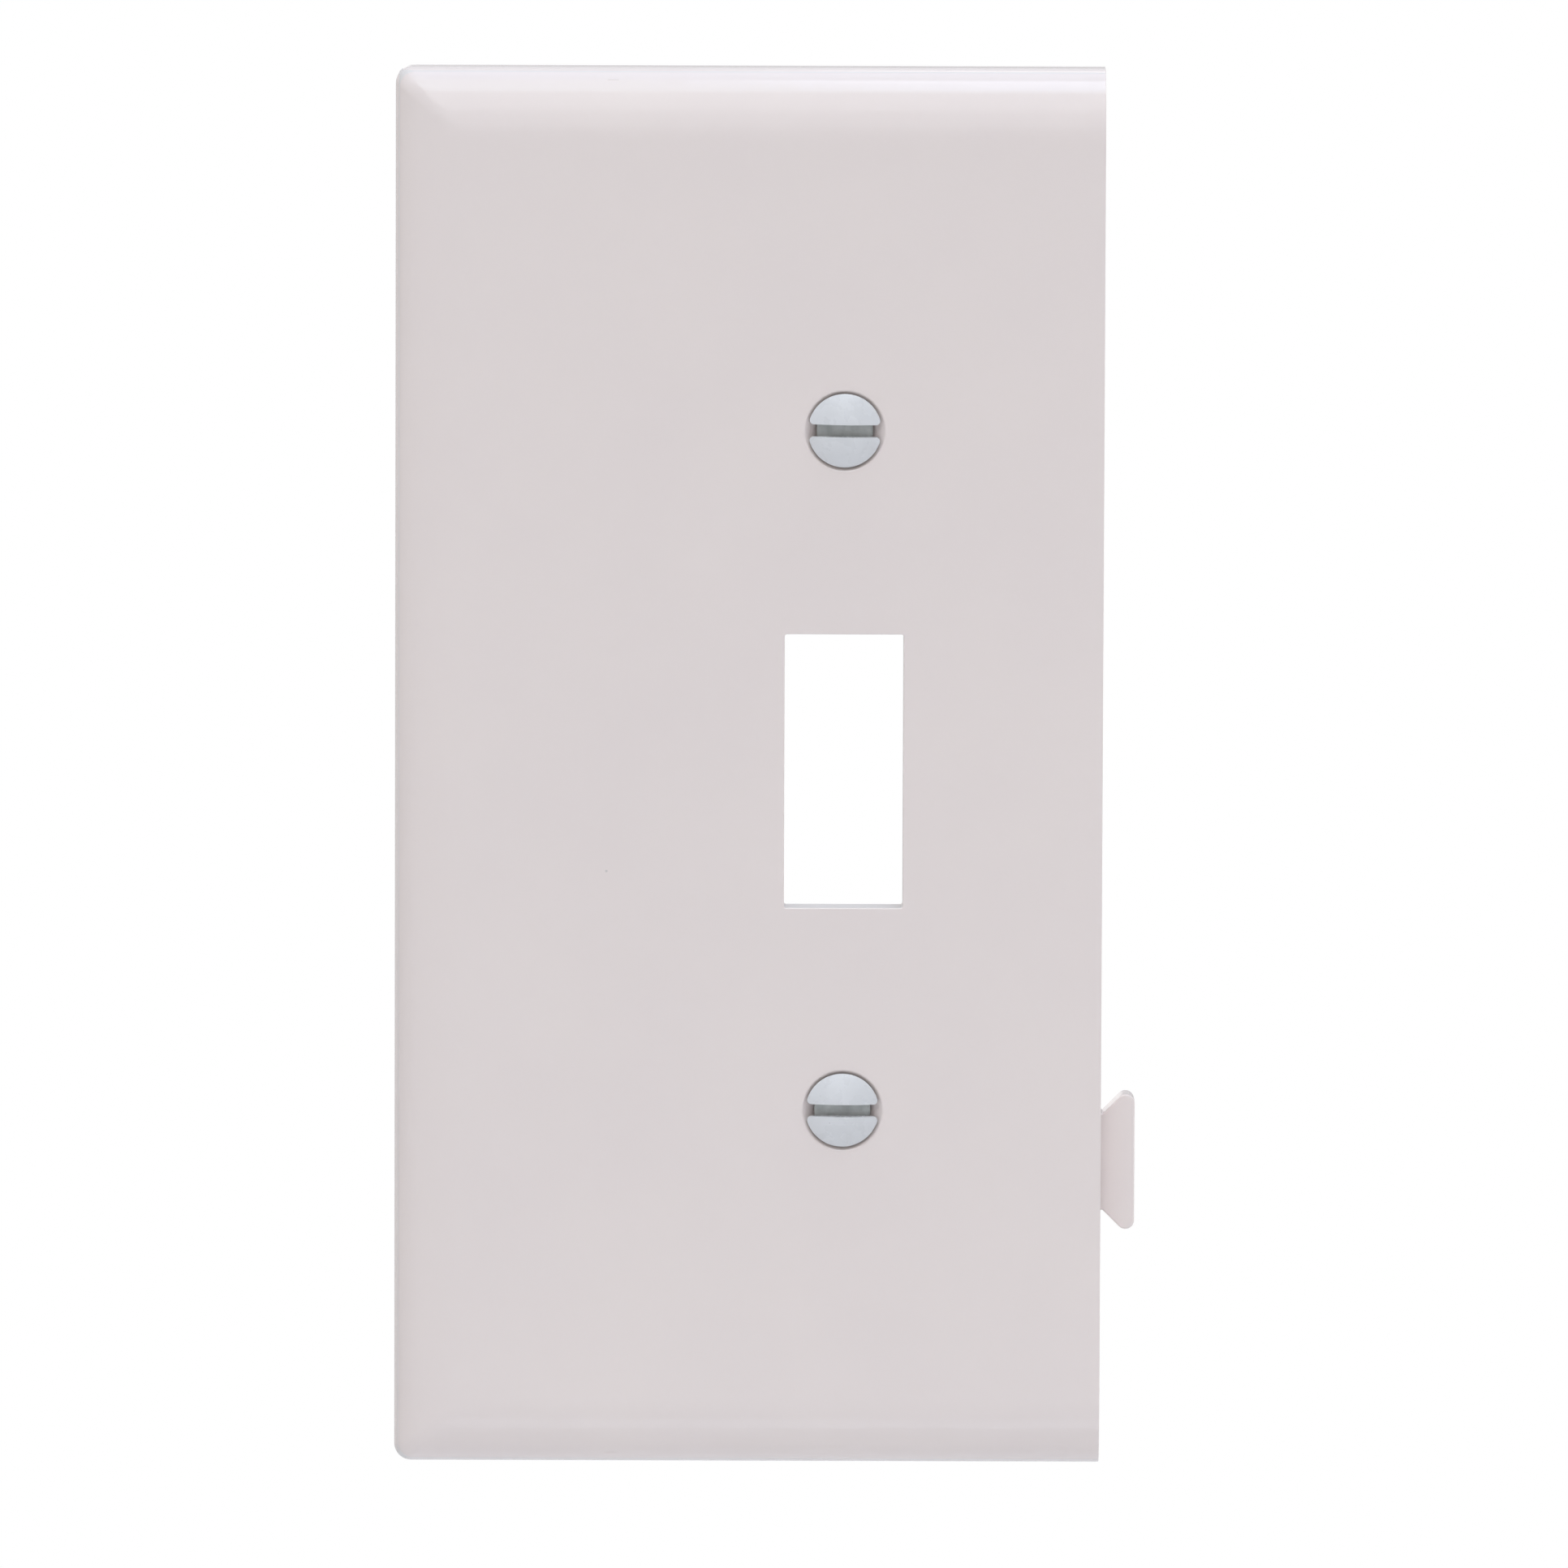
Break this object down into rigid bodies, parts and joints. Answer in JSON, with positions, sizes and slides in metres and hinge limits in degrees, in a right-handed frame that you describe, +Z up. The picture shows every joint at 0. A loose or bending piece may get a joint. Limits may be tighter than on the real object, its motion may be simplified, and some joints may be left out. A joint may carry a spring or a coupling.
{
  "type": "wall plate section",
  "caption": "End section of a sectional toggle-switch wall plate: rounded bevel on three sides, dovetail joint on the fourth, held by slotted oval-head screws.",
  "frame": {"origin": "in the wall plane, midway between the two screw axes, at the centre of the switch opening", "axes": "+X right towards the joint edge, +Z up, front face towards -Y, screw threads towards +Y"},
  "size_m": [0.0656, 0.0136, 0.124],
  "materials": {
    "plate": "glossy moulded white",
    "screw": "cool white paint, bare steel in the slot and on the thread",
    "washer": "natural nylon"
  },
  "bodies": {
    "plate": {"plate_section": "plate"},
    "upper_washer": {"upper_retaining_washer": "washer"},
    "lower_washer": {"lower_retaining_washer": "washer"},
    "upper_screw": {"upper_screw": "screw"},
    "lower_screw": {"lower_screw": "screw"}
  },
  "joints": [
    {"name": "upper_screw_slide", "type": "slide", "parent": "plate", "child": "upper_washer", "axis": [0, -1, 0], "range_m": [-0.00035, 0.00115]},
    {"name": "upper_screw_turn", "type": "hinge", "parent": "upper_washer", "child": "upper_screw", "pos_m": [0, 0, 0.03016], "axis": [0, 1, 0], "continuous": true},
    {"name": "lower_screw_slide", "type": "slide", "parent": "plate", "child": "lower_washer", "axis": [0, -1, 0], "range_m": [-0.00035, 0.00115]},
    {"name": "lower_screw_turn", "type": "hinge", "parent": "lower_washer", "child": "lower_screw", "pos_m": [0, 0, -0.03016], "axis": [0, 1, 0], "continuous": true}
  ]
}
